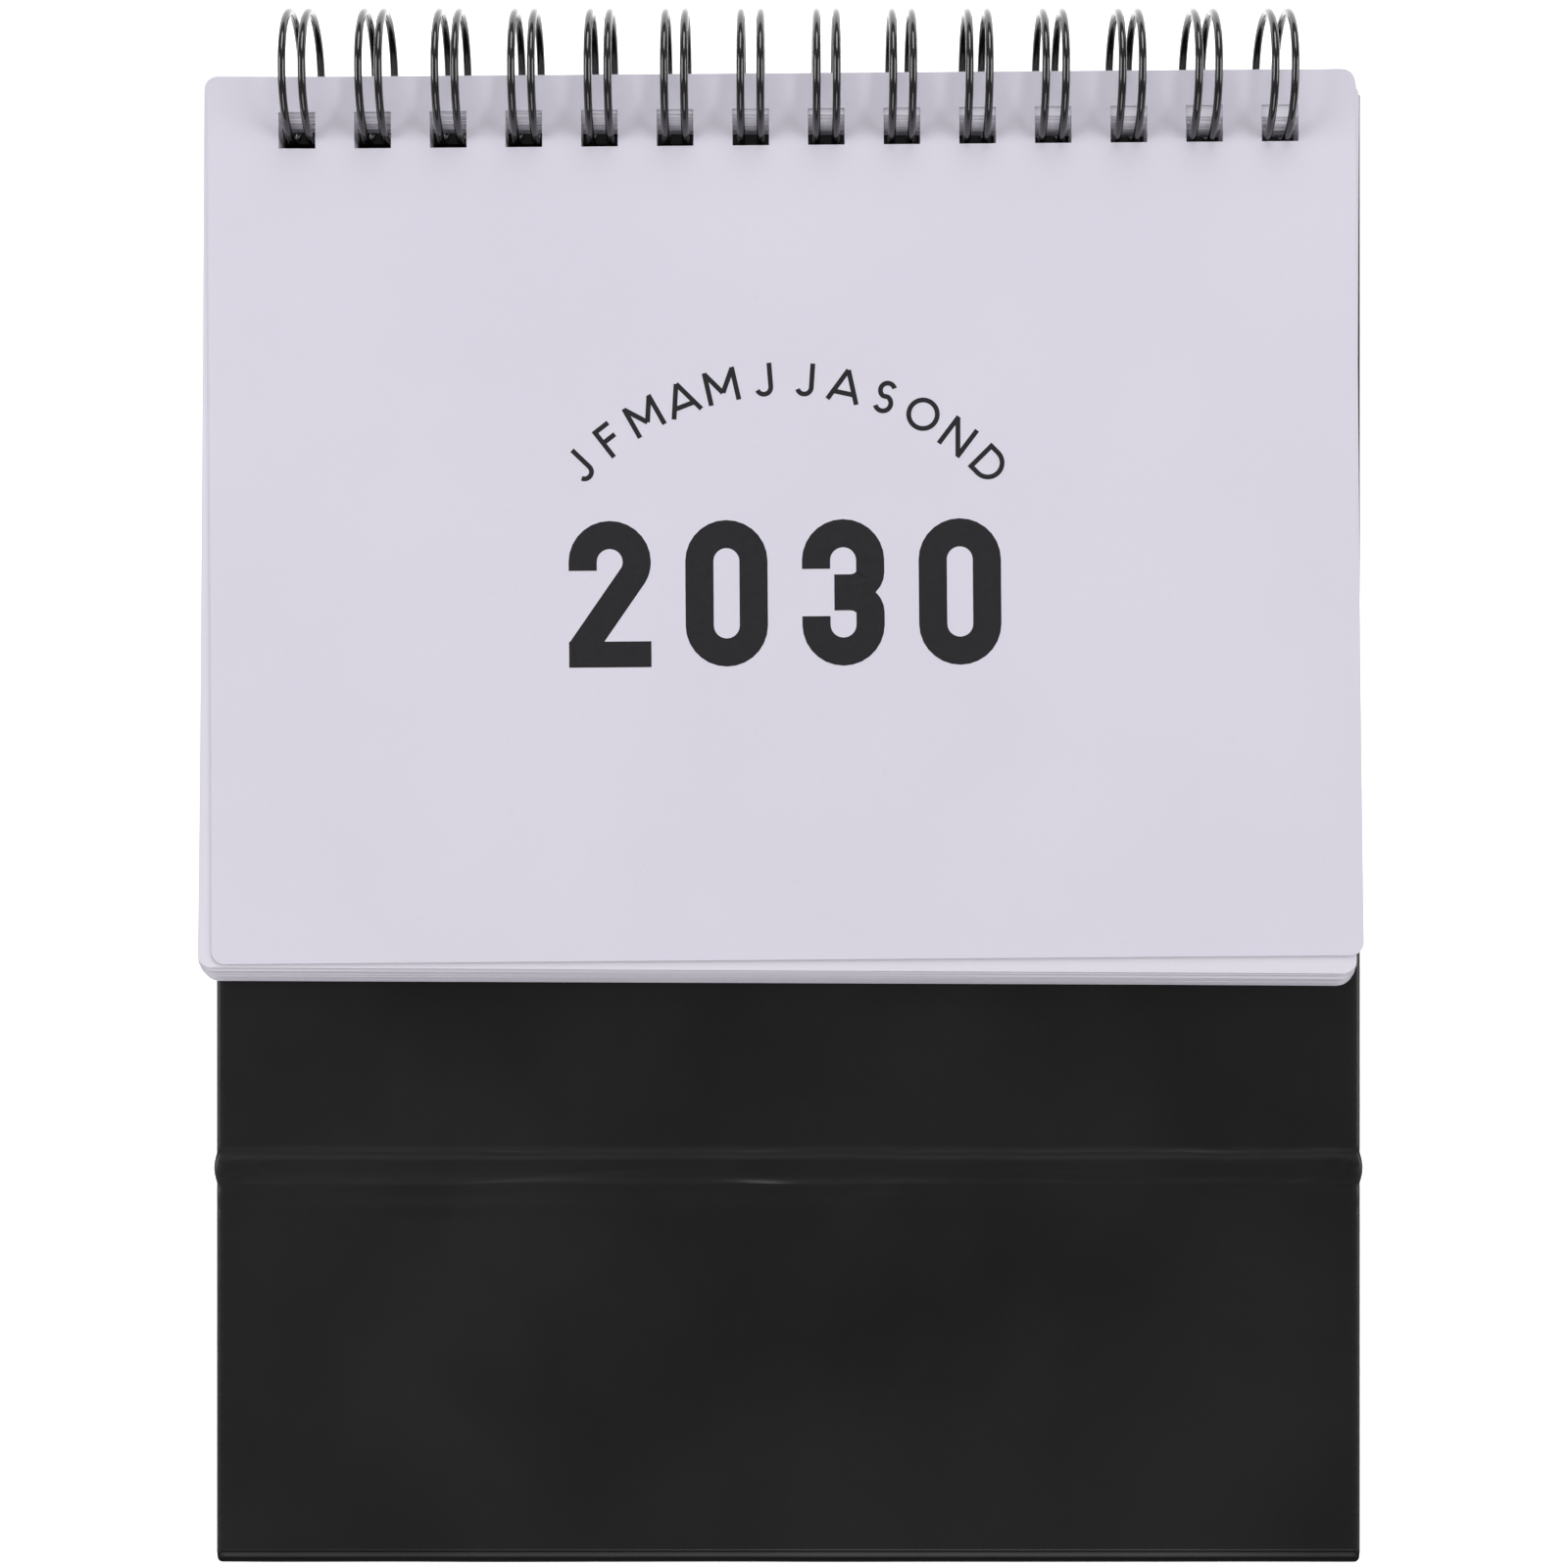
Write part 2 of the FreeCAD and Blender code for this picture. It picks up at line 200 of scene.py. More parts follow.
def printed_ink(name, tone):
    """Flat black print: a little uneven where the ink sank into the paper."""
    ink = Shader(name, Roughness=0.5, Specular_IOR_Level=0.3)
    place = ink.place()
    soak = ink.grain(place, 1700.0, 2.0, 0.6)
    ink.feed("Base Color", ink.blend_colour(soak, tone, tuple(part * 1.5 for part in tone)))
    ink.feed("Roughness", soak * 0.2 + 0.42)
    ink.bump(soak, 0.1, 0.00003)
    return ink.material


def laminated_wrap(name, half_width, fold, half_stack, gloss=0.30):
    """Black wrapping paper under a satin film: soft haze, a painted highlight in streaks along the long
    edges, painted shade and a dull finish along the crease fold, and darker, duller sides.
    """
    wrap = Shader(name, Roughness=0.4, Specular_IOR_Level=gloss, Coat_Roughness=0.20)
    place = wrap.place()
    across, along, above = wrap.axes(place)
    haze = wrap.grain(place, 30.0, 3.0, 0.55)
    tooth = wrap.grain(place, 2100.0, 2.0, 0.6)
    scuff_and_highlight_streaks = wrap.grain(wrap.stretched(place, (1.0, 7.0, 1.0)), 240.0, 4.0, 0.65)
    edge = across.size().ramp(half_width - 0.0011, half_width - 0.0001)
    # Painted highlight: lighter streaks along the long edges stand for the light that the rounded edges
    # catch.
    edge_highlight = edge * scuff_and_highlight_streaks.ramp(0.35, 0.62)
    drift = wrap.grain(wrap.stretched(place, (1.0, 0.15, 1.0)), 60.0, 2.0) * 0.0006
    # Painted shade along the crease line: a band about 1 mm wide, darker and duller, broken up by the haze.
    crease_shade_and_dull = (along + drift - fold - 0.0003).size().ramp(0.0010, 0.0001) * haze.ramp(0.2, 0.6)
    thin = (above - half_stack).size().ramp(half_stack - 0.00008, half_stack - 0.00040)
    dull_and_dark = crease_shade_and_dull * 0.6 + thin
    body = wrap.blend_colour(haze.ramp(0.3, 0.7), (0.0036, 0.0033, 0.0040), (0.0058, 0.0055, 0.0064))
    # The body colour with the painted highlight along the long edges.
    body_with_edge_highlight = wrap.blend_colour(edge_highlight * 0.35, body, (0.024, 0.023, 0.026))
    # Painted shade: the colour goes darker along the crease line. It also goes darker on the sides.
    wrap.feed("Base Color", wrap.blend_colour(dull_and_dark * 0.7, body_with_edge_highlight, (0.0016, 0.0015, 0.0018)))
    wrap.feed("Roughness", haze * 0.12 + tooth * 0.08 + edge * 0.08 + dull_and_dark * 0.45 + 0.27)
    wrap.feed("Coat Weight", (haze.ramp(0.25, 0.75) * 0.2 + 0.22) * (1.0 - dull_and_dark))
    wrap.bump(haze * 0.6 + tooth * 0.12 + scuff_and_highlight_streaks * 0.1, 0.22, 0.00012)
    return wrap.material


def matt_lining(name):
    """Black uncoated paper pasted inside the boards."""
    lining = Shader(name, Roughness=0.8, Specular_IOR_Level=0.25)
    place = lining.place()
    fibre = lining.grain(lining.stretched(place, (1.0, 1.9, 1.0)), 1500.0, 3.0, 0.65)
    cloud = lining.grain(place, 55.0, 2.0)
    lining.feed("Base Color", lining.blend_colour(fibre * 0.6 + cloud * 0.4, (0.009, 0.009, 0.010),
                                                  (0.021, 0.021, 0.022)))
    lining.feed("Roughness", fibre * 0.16 + 0.72)
    lining.bump(fibre, 0.35, 0.00008)
    return lining.material


def greyboard(name):
    """Pressed waste paper: layered along the board, speckled with darker scraps."""
    board = Shader(name, Roughness=0.92, Specular_IOR_Level=0.2)
    place = board.place()
    layers = board.grain(board.stretched(place, (1.0, 1.0, 9.0)), 700.0, 3.0, 0.6)
    scrap = board.grain(place, 1300.0, 1.0).ramp(0.60, 0.70)
    grey = board.blend_colour(layers, (0.21, 0.195, 0.175), (0.36, 0.34, 0.31))
    board.feed("Base Color", board.blend_colour(scrap * 0.5, grey, (0.11, 0.10, 0.09)))
    board.feed("Roughness", layers * 0.1 + 0.86)
    board.bump(layers, 0.5, 0.00012)
    return board.material


def nylon_wire(name):
    """Gloss black nylon coat on steel wire, with fine draw marks."""
    coat = Shader(name, Roughness=0.2, Specular_IOR_Level=0.55, Coat_Roughness=0.08)
    place = coat.place()
    ripple = coat.grain(place, 900.0, 2.0, 0.6)
    dust = coat.grain(place, 2400.0, 2.0, 0.7).ramp(0.62, 0.75)
    coat.feed("Base Color", coat.blend_colour(dust * 0.3, (0.006, 0.006, 0.007), (0.03, 0.03, 0.032)))
    coat.feed("Roughness", ripple * 0.12 + dust * 0.15 + 0.14)
    coat.feed("Coat Weight", ripple * 0.2 + 0.5)
    coat.bump(ripple, 0.12, 0.00005)
    return coat.material


def studio_white(name, low_y, high_y):
    """Plain pale floor that glows a little so that it stays even, with a painted shadow, nearly black, under
    the boards.
    """
    floor = Shader(name, Roughness=0.9, Specular_IOR_Level=0.1, Emission_Strength=FLOOR_GLOW)
    across, along, _ = floor.axes(floor.place())
    half = (high_y - low_y) / 2
    inset, fade = 1.0 * MM, 4.0 * MM
    # Painted shadow: over the closed boards' footprint the floor's colour and glow fade to nearly black, so
    # that no white shows through the holes. It is paint and stays put when the parts move.
    painted_shadow = (across.size().ramp(board_half - inset, board_half - fade)
               * (along - (low_y + high_y) / 2).size().ramp(half - inset, half - fade))
    floor.feed("Base Color", floor.blend_colour(painted_shadow, (0.92, 0.92, 0.93), (0.02, 0.02, 0.02)))
    floor.feed("Emission Color", floor.blend_colour(painted_shadow, (1.0, 1.0, 1.0), (0.01, 0.01, 0.01)))
    return floor.material


FLOOR_GLOW = 0.85
cover_paper = fibre_paper("cover_paper", (0.655, 0.628, 0.715), (0.628, 0.602, 0.688))
month_paper = fibre_paper("month_paper", (0.69, 0.665, 0.735), (0.655, 0.632, 0.70))
cover_ink = printed_ink("cover_ink", (0.010, 0.010, 0.012))
month_ink = printed_ink("month_ink", (0.03, 0.03, 0.034))
black_wrap = laminated_wrap("black_wrap", board_half, crease_high, outer_z / 2)
fold_paper = laminated_wrap("fold_wrap", board_half, crease_high, outer_z / 2, gloss=0.06)
black_lining = matt_lining("black_lining")
core_board = greyboard("greyboard")
wire_coat = nylon_wire("black_wire")


# ---- Meshes made from the frame's own nodes ----

def new_piece(name, mesh, material, body, slot, *replaced):
    """A finished piece at the origin that rides on a body and stands for its CAD nodes."""
    piece = bpy.data.objects.new(name, mesh)
    bpy.context.scene.collection.objects.link(piece)
    mesh.materials.clear()
    mesh.materials.append(material)
    if body:
        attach(piece, body)
    if replaced:
        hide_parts(*replaced)
    return piece


def clean_copy(node):
    """The node's surface as plain polygons in a bmesh."""
    surface = bmesh.new()
    surface.from_mesh(frame["nodes"][node].data)
    bmesh.ops.remove_doubles(surface, verts=surface.verts, dist=1e-6)
    bmesh.ops.dissolve_limit(surface, angle_limit=math.radians(1.0), verts=surface.verts,
                             edges=surface.edges)
    return surface


def slice_surface(surface, axis, places):
    """Cut the surface by planes across one axis, so that it can bend."""
    normal = Vector((1.0 if axis == 0 else 0.0, 1.0 if axis == 1 else 0.0, 0.0))
    for place in places:
        geometry = list(surface.verts) + list(surface.edges) + list(surface.faces)
        bmesh.ops.bisect_plane(surface, geom=geometry, dist=1e-7, plane_co=normal * place, plane_no=normal)


def steps(low, high, count):
    """Evenly spaced places strictly between two limits."""
    return [low + (high - low) * index / count for index in range(1, count)]


def to_mesh(surface, name, smooth_degrees=35.0):
    """Close the bmesh and shade it smooth up to an angle."""
    bmesh.ops.recalc_face_normals(surface, faces=surface.faces)
    limit = math.radians(smooth_degrees)
    for edge in surface.edges:
        edge.smooth = len(edge.link_faces) == 2 and edge.calc_face_angle(0.0) < limit
    for face in surface.faces:
        face.smooth = True
    mesh = bpy.data.meshes.new(name)
    surface.to_mesh(mesh)
    surface.free()
    return mesh


# ---- Paper ----

COVER_BOW = 1.1 * MM
CORNER_CURL = 0.5 * MM
sheet_length = cover_high.y - cover_low.y


def sheet_rise(order, x, y):
    """How far a sheet stands off its flat place: more for the upper ones and towards the free end."""
    share = 1.0 - order / len(MONTHS)
    down = max(0.0, (ring_axis.y - y) / sheet_length)
    side = x / board_half
    belly = COVER_BOW * down ** 2 * (1.0 - 0.35 * side ** 2)
    curl = CORNER_CURL * down ** 6 * side ** 4
    return share * (belly + curl)


def paper_piece(order, node):
    """One bowed sheet cut from the node's own outline and holes."""
    surface = clean_copy(node)
    low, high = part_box(node)
    slice_surface(surface, 0, steps(low[0], high[0], 16))
    slice_surface(surface, 1, steps(low[1], high[1], 18))
    for corner in surface.verts:
        corner.co.z += sheet_rise(order, corner.co.x, corner.co.y)
    material, slot = (cover_paper, "cover_paper") if order == 0 else (month_paper, "month_paper")
    new_piece(f"{node}_paper", to_mesh(surface, f"{node}_paper"), material, node, slot, node)


for order, node in enumerate(SHEETS):
    paper_piece(order, node)


# ---- Print ----

def glyph(letter, weight):
    """Flat outline of one plain character, one unit tall, as points and faces."""
    text = bpy.data.curves.new("glyph", "FONT")
    text.body = letter
    text.offset = weight
    text.resolution_u = 5
    source = bpy.data.objects.new("glyph", text)
    bpy.context.scene.collection.objects.link(source)
    bpy.context.view_layer.update()
    mesh = bpy.data.meshes.new_from_object(source.evaluated_get(bpy.context.evaluated_depsgraph_get()))
    points = [corner.co.to_2d() for corner in mesh.vertices]
    faces = [tuple(face.vertices) for face in mesh.polygons]
    bpy.data.objects.remove(source)
    bpy.data.curves.remove(text)
    bpy.data.meshes.remove(mesh)
    left, right = min(point.x for point in points), max(point.x for point in points)
    low, high = min(point.y for point in points), max(point.y for point in points)
    tall = high - low
    middle = Vector(((left + right) / 2, low))
    return [(point - middle) / tall for point in points], faces


def ribbon(line, width, closed=False):
    """A flat stroke of even width along a line of points."""
    points, faces = [], []
    count = len(line)
    for index, point in enumerate(line):
        before = line[index - 1] if index or closed else point
        after = line[(index + 1) % count] if index < count - 1 or closed else point
        along = (after - before).normalized()
        side = Vector((-along.y, along.x)) * width / 2
        points += [point + side, point - side]
    for index in range(count if closed else count - 1):
        left, right = 2 * index, 2 * index + 1
        next_left, next_right = (2 * index + 2) % (2 * count), (2 * index + 3) % (2 * count)
        faces.append((left, right, next_right, next_left))
    return points, faces


def arc(centre, radius, start, end, count):
    """Points on an arc between two angles in degrees."""
    turns = [math.radians(start + (end - start) * index / count) for index in range(count + 1)]
    return [Vector((centre[0] + radius * math.cos(turn), centre[1] + radius * math.sin(turn)))
            for turn in turns]


def bell(distance, width):
    """One at zero distance, fading over a width."""
    return math.exp(-(distance / width) ** 2)


LETTER_WEIGHT = 0.145


def letter_strokes(letter):
    """Strokes of a plain round capital, one unit tall, about its middle."""
    half, edge = 0.5, LETTER_WEIGHT / 2
    low, high, centre = edge, 1.0 - edge, 0.5
    bowl = half - edge

    def line(*places):
        return ribbon([Vector(place) for place in places], LETTER_WEIGHT)

    if letter == "O":
        return [ribbon(arc((0.0, centre), bowl, 0, 360, 32)[:-1], LETTER_WEIGHT, closed=True)]
    if letter == "J":
        hook = 0.21
        curve = arc((0.02, low + hook), hook, 0, -160, 12)
        return [ribbon([Vector((0.02 + hook, 1.0))] + curve, LETTER_WEIGHT)]
    if letter == "F":
        stem = -0.22
        return [line((stem, 0.0), (stem, 1.0)), line((stem, high), (0.27, high)),
                line((stem, 0.53), (0.22, 0.53))]
    if letter == "M":
        return [line((-0.42, 0.0), (-0.42, 1.0)), line((0.42, 0.0), (0.42, 1.0)),
                line((-0.42, 0.96), (0.0, 0.30)), line((0.42, 0.96), (0.0, 0.30))]
    if letter == "N":
        return [line((-0.34, 0.0), (-0.34, 1.0)), line((0.34, 0.0), (0.34, 1.0)),
                line((-0.34, 0.95), (0.34, 0.05))]
    if letter == "A":
        return [line((-0.44, 0.0), (0.0, 0.97)), line((0.44, 0.0), (0.0, 0.97)),
                line((-0.30, 0.27), (0.30, 0.27))]
    if letter == "D":
        stem = -0.34
        curve = [Vector((stem, low)), Vector((-0.06, low))]
        curve += arc((-0.06, centre), bowl, -90, 90, 18) + [Vector((stem, high))]
        return [line((stem, 0.0), (stem, 1.0)), ribbon(curve, LETTER_WEIGHT)]
    upper, lower = 0.215, 0.235
    spine = arc((0.0, high - upper), upper, 35, 250, 18)
    spine += arc((0.0, low + lower), lower, 70, -145, 18)
    return [ribbon(spine, LETTER_WEIGHT)]


DIGIT_WIDTH = 9.2
DIGIT_TALL = 16.4
STROKE = 3.15
ARC_STEPS = 14


def heavy_digit(number):
    """Strokes of a heavy condensed digit, in millimetres from its lower left corner."""
    bend = (DIGIT_WIDTH - STROKE) / 2
    middle = DIGIT_WIDTH / 2
    top, bottom = DIGIT_TALL - STROKE / 2 - bend, STROKE / 2 + bend
    if number == "0":
        outline = arc((middle, top), bend, 0, 180, ARC_STEPS)
        outline += arc((middle, bottom), bend, 180, 360, ARC_STEPS)
        return [ribbon(outline, STROKE, closed=True)]
    hook = DIGIT_TALL * 0.66
    start = [Vector((middle - bend, hook))]
    if number == "2":
        waist = arc((middle, top), bend, 0, -28, 5)
        heel = Vector((STROKE * 0.40, STROKE * 0.57))
        neck = start + arc((middle, top), bend, 180, 0, ARC_STEPS) + waist[1:] + [heel]
        block = [Vector((0.0, STROKE * 0.46)), Vector((DIGIT_WIDTH, STROKE * 0.46))]
        return [ribbon(neck, STROKE), ribbon(block, STROKE * 0.92)]
    half = DIGIT_TALL / 2
    corner = 2.2
    curl = arc((middle + bend - corner, half + corner), corner, 0, -90, ARC_STEPS // 2)
    upper = start + arc((middle, top), bend, 180, 0, ARC_STEPS) + curl + [Vector((middle - 1.0, half))]
    lower = [Vector((point.x, DIGIT_TALL - point.y)) for point in reversed(upper)]
    spread = 0.14 * STROKE
    upper = [Vector((point.x, point.y + spread * bell(point.y - half, 1.5))) for point in upper]
    lower = [Vector((point.x, point.y - spread * bell(point.y - half, 1.5))) for point in lower]
    return [ribbon(upper, STROKE), ribbon(lower, STROKE)]


def hole_row(node):
    """Middle of a sheet's row of holes, and the direction that the row runs."""
    _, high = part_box(node)
    surface = frame["nodes"][node].data
    band = 10.0 * MM
    margin = 2.5 * MM
    punched = [corner.co for corner in surface.vertices
               if corner.co.y > high[1] - band and abs(corner.co.x) < board_half - margin * 2
               and corner.co.y < high[1] - margin]
    middle = sum(punched, Vector()) / len(punched)
    slope = (sum((one.x - middle.x) * (one.y - middle.y) for one in punched)
             / sum((one.x - middle.x) ** 2 for one in punched))
    return middle, Vector((1.0, slope, 0.0)).normalized()


INK_STAND_OFF = 0.012 * MM
INK_LAYER = 0.003 * MM
PRINT_OFFSET = -0.8


class Print:
    """Flat shapes laid on a sheet, in millimetres from the middle of its row of holes."""

    def __init__(self, order, node):
        self.order = order
        self.node = node
        self.middle, self.right = hole_row(node)
        self.up = Vector((-self.right.y, self.right.x, 0.0))
        self.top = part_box(node)[1][2]
        self.points, self.faces = [], []

    def lay(self, shape, at, size=1.0, turn=0.0, lift=0.0):
        points, faces = shape
        start = len(self.points)
        cosine, sine = math.cos(turn), math.sin(turn)
        for point in points:
            x = at[0] + size * (point.x * cosine - point.y * sine)
            y = at[1] + size * (point.x * sine + point.y * cosine)
            place = self.middle + (self.right * x + self.up * y) * MM
            rise = sheet_rise(self.order, place.x, place.y)
            self.points.append((place.x, place.y, self.top + rise + INK_STAND_OFF + lift))
        self.faces += [tuple(start + corner for corner in face) for face in faces]

    def rule(self, x_low, y_low, x_high, y_high, parts=12):
        """A thin bar, divided along X so that it follows the sheet."""
        across = [x_low + (x_high - x_low) * index / parts for index in range(parts + 1)]
        points = [Vector((x, y)) for x in across for y in (y_low, y_high)]
        faces = [(2 * index, 2 * index + 2, 2 * index + 3, 2 * index + 1) for index in range(parts)]
        self.lay((points, faces), (0.0, 0.0))

    def finish(self, material, slot):
        mesh = bpy.data.meshes.new(f"{self.node}_print")
        mesh.from_pydata(self.points, [], self.faces)
        surface = bmesh.new()
        surface.from_mesh(mesh)
        for face in surface.faces:
            if face.normal.z < 0:
                face.normal_flip()
        surface.to_mesh(mesh)
        surface.free()
        new_piece(f"{self.node}_print", mesh, material, self.node, slot)


def print_cover():
    """Month initials on an arc over a plain four-digit number."""
    cover = Print(0, "cover_sheet")
    arc_middle, arc_radius, arc_half = -60.3, 30.15, 45.8
    initials = "JFMAMJJASOND"
    for index, letter in enumerate(initials):
        lean = arc_half - 2 * arc_half * index / (len(initials) - 1)
        turn = math.radians(lean)
        at = (PRINT_OFFSET - math.sin(turn) * arc_radius, arc_middle + math.cos(turn) * arc_radius)
        for layer, stroke in enumerate(letter_strokes(letter)):
            cover.lay(stroke, at, size=3.75, turn=turn, lift=layer * INK_LAYER)
    figures = "2030"
    pitch = 13.05
    left = PRINT_OFFSET - (pitch * (len(figures) - 1) + DIGIT_WIDTH) / 2
    for index, figure in enumerate(figures):
        for layer, stroke in enumerate(heavy_digit(figure)):
            cover.lay(stroke, (left + pitch * index, -60.4), lift=layer * INK_LAYER)
    cover.finish(cover_ink, "cover_paper")


COLUMNS, COLUMN_PITCH, ROW_PITCH = 7, 16.6, 11.2
FIRST_ROW = -28.0
HEADING_Y, HEADING_TALL, HEADING_STEP = -18.5, 8.5, 6.2
DAY_TALL, DAY_STEP = 3.4, 1.15 * 2.3
RULE_LOW, RULE_HIGH, RULE_OVERHANG = -21.6, -21.25, 5.5
MONTH_LENGTHS = (31, 28, 31, 30, 31, 30, 31, 31, 30, 31, 30, 31)


def print_month(order, figures):
    """A month number, a rule and a plain grid of day numbers."""
    page = Print(order, SHEETS[order])
    left = PRINT_OFFSET - COLUMN_PITCH * (COLUMNS - 1) / 2
    for place, figure in enumerate(str(order)):
        page.lay(figures[figure], (left + place * HEADING_STEP, HEADING_Y), size=HEADING_TALL)
    page.rule(left - RULE_OVERHANG, RULE_LOW, left + COLUMN_PITCH * (COLUMNS - 1) + RULE_OVERHANG, RULE_HIGH)
    first_day = (order * 3 + 1) % COLUMNS
    for day in range(1, MONTH_LENGTHS[order - 1] + 1):
        row, column = divmod(first_day + day - 1, COLUMNS)
        text = str(day)
        for place, figure in enumerate(text):
            shift = (place - (len(text) - 1) / 2) * DAY_STEP
            at = (left + column * COLUMN_PITCH + shift, FIRST_ROW - row * ROW_PITCH - DAY_TALL)
            page.lay(figures[figure], at, size=DAY_TALL)
    page.finish(month_ink, "month_paper")


print_cover()
figure_shapes = {figure: glyph(figure, 0.0) for figure in "0123456789"}
for order in range(1, len(SHEETS)):
    print_month(order, figure_shapes)


# ---- Black wrap ----

EDGE_ROUNDING = 0.5 * MM
CREASE_BULGE = 0.30 * MM


def round_drop(distance):
    """How far a rounded edge falls away at a distance in from the side."""
    inside = min(max(distance, 0.0), EDGE_ROUNDING)
    return EDGE_ROUNDING - math.sqrt(EDGE_ROUNDING ** 2 - (EDGE_ROUNDING - inside) ** 2)


def wave(x, y, scale, seed):
    """Smooth random number from -1 to 1 that depends only on the place."""
    return noise.noise(Vector((x * scale, y * scale, seed)))


def fold_line(x, y, at_x, at_y, angle, length, width):
    """A short straight wrinkle: one on its line, fading at the sides and the ends."""
    turn = math.radians(angle)
    along = (x - at_x) * math.cos(turn) + (y - at_y) * math.sin(turn)
    aside = -(x - at_x) * math.sin(turn) + (y - at_y) * math.cos(turn)
    return bell(aside, width) * bell(along, length / 2)


def crease_relief(x, y):
    """Height of the wrap near the front crease, in metres: groove, roll and wrinkles."""
    down = (crease_high - y) / MM
    gap = (crease_high - crease_low) / MM
    if down < -4.0 or down > 16.0:
        return 0.0
    x_mm, y_mm = x / MM, y / MM
    wander = 0.22 * wave(x_mm, 0.0, 0.09, 3.1) + 0.10 * wave(x_mm, 0.0, 0.4, 5.7)
    depth = 0.12 + 0.06 * wave(x_mm, 0.0, 0.12, 8.3)
    height = -depth * bell(down + wander - 0.15, 0.42)
    roll = math.sin(math.pi * min(max((down - 0.2) / gap, 0.0), 1.0))
    height += (0.06 + 0.03 * wave(x_mm, 0.0, 0.07, 1.9)) * roll
    height -= (0.05 + 0.04 * wave(x_mm, 0.0, 0.10, 4.4)) * bell(down - gap - 0.1 - wander, 0.55)
    height -= (0.03 + 0.03 * wave(x_mm, 0.0, 0.06, 6.6)) * bell(down - gap - 2.7 - wander, 0.7)
    for at_x, at_down, angle, length, width, tall in (
            (-32.0, 3.5, 2.0, 13.0, 0.34, -0.06), (-3.0, 3.6, -3.0, 8.0, 0.34, -0.07),
            (11.0, 4.9, 4.0, 5.0, 0.34, -0.05), (-19.0, 1.9, 3.0, 16.0, 0.40, 0.05),
            (30.0, 2.4, -2.0, 22.0, 0.34, -0.04), (47.0, 1.6, 2.0, 12.0, 0.32, 0.04),
            (-63.2, 0.6, -38.0, 2.6, 0.26, 0.16), (-62.2, 0.9, -34.0, 3.4, 0.24, -0.16),
            (-60.6, 1.2, -24.0, 3.4, 0.28, 0.09), (-62.8, 2.6, 42.0, 3.0, 0.28, -0.08),
            (62.4, 0.9, 34.0, 3.0, 0.28, 0.15), (63.2, 1.8, 40.0, 2.6, 0.24, -0.15),
            (60.4, 1.2, 18.0, 4.4, 0.28, -0.09), (58.2, 2.7, 10.0, 4.0, 0.32, 0.06)):
        height += tall * fold_line(x_mm, y_mm, at_x, crease_high / MM - at_down, angle, length, width)
    ring_gap = math.hypot(x_mm + 2.1, (down - 8.4) * 1.2)
    lower_half = 1.0 if down > 7.2 else 0.0
    height -= 0.05 * bell(ring_gap - 2.3, 0.34) * lower_half * min(max((down - 7.2) / 0.8, 0.0), 1.0)
    height -= 0.10 * bell(x_mm + 4.0, 16.0) * bell(down - 6.4, 2.2)
    return height * MM


def board_relief(x, y, seed):
    """The slight unevenness of wrapped board."""
    x_mm, y_mm = x / MM, y / MM
    return (0.07 * wave(x_mm, y_mm, 0.03, seed) + 0.025 * wave(x_mm, y_mm, 0.11, seed + 2.0)) * MM


def shape_wrap(surface, outer, inner, creased, free_top=None, seed=1.0):
    """Round the long edges of a wrap and give its outer face relief; outer and inner are heights."""
    middle = (outer + inner) / 2
    sign = 1.0 if outer > inner else -1.0
    for corner in surface.verts:
        x, y, z = corner.co
        share = min(max((z - middle) / (outer - middle), -1.0), 1.0)
        fall = round_drop(board_half - abs(x))
        if free_top is not None:
            fall = max(fall, round_drop(free_top - y))
        flat = 1.0 if share > 0.5 else 0.0
        edge_fade = min(1.0, max(0.0, (board_half - abs(x)) / (3.0 * EDGE_ROUNDING)))
        relief = board_relief(x, y, seed) * edge_fade
        if creased:
            relief += crease_relief(x, y)
            down_share = min(max((crease_high - y) / (crease_high - crease_low), 0), 1)
            bulge = CREASE_BULGE * math.sin(math.pi * down_share)
            if abs(x) > board_half - EDGE_ROUNDING:
                corner.co.x += math.copysign(bulge, x)
        corner.co.z += sign * (flat * relief - share * fall)


def side_places():
    """Planes across X: close together at the rounded sides, even between them."""
    near = [board_half - EDGE_ROUNDING * share for share in (0.12, 0.3, 0.55, 0.8, 1.0)]
    near += [board_half - 1.2 * MM, board_half - 2.0 * MM, board_half - 3.0 * MM]
    inner = board_half - 3.0 * MM
    return near + [-place for place in near] + steps(-inner, inner, 150)


def wrapped(name, nodes, outer, inner, y_places, material, slot, body, clip=None, **shape):
    """One wrap made from its CAD nodes: cut up, joined where they meet, rounded and creased."""
    whole = bmesh.new()
    for node in nodes:
        surface = clean_copy(node)
        part = bpy.data.meshes.new("part")
        surface.to_mesh(part)
        surface.free()
        whole.from_mesh(part)
        bpy.data.meshes.remove(part)
    slice_surface(whole, 0, side_places() if shape.get("creased") else side_places()[::3])
    slice_surface(whole, 1, y_places)
    if clip is not None:
        at, keep_above = clip
        geometry = list(whole.verts) + list(whole.edges) + list(whole.faces)
        bmesh.ops.bisect_plane(whole, geom=geometry, dist=1e-7, plane_co=(0, at, 0), plane_no=(0, 1, 0),
                               clear_inner=keep_above, clear_outer=not keep_above)
    bmesh.ops.remove_doubles(whole, verts=whole.verts, dist=1e-6)
    seams = (crease_high, crease_low)
    inside = [face for face in whole.faces
              if any(all(abs(corner.co.y - seam) < 1e-6 for corner in face.verts) for seam in seams)
              and all(abs(corner.co.z - outer) < 0.21 * MM for corner in face.verts)]
    bmesh.ops.delete(whole, geom=inside, context="FACES_ONLY")
    shape_wrap(whole, outer, inner, **shape)
    piece = new_piece(name, to_mesh(whole, name), material, body, slot)
    return piece


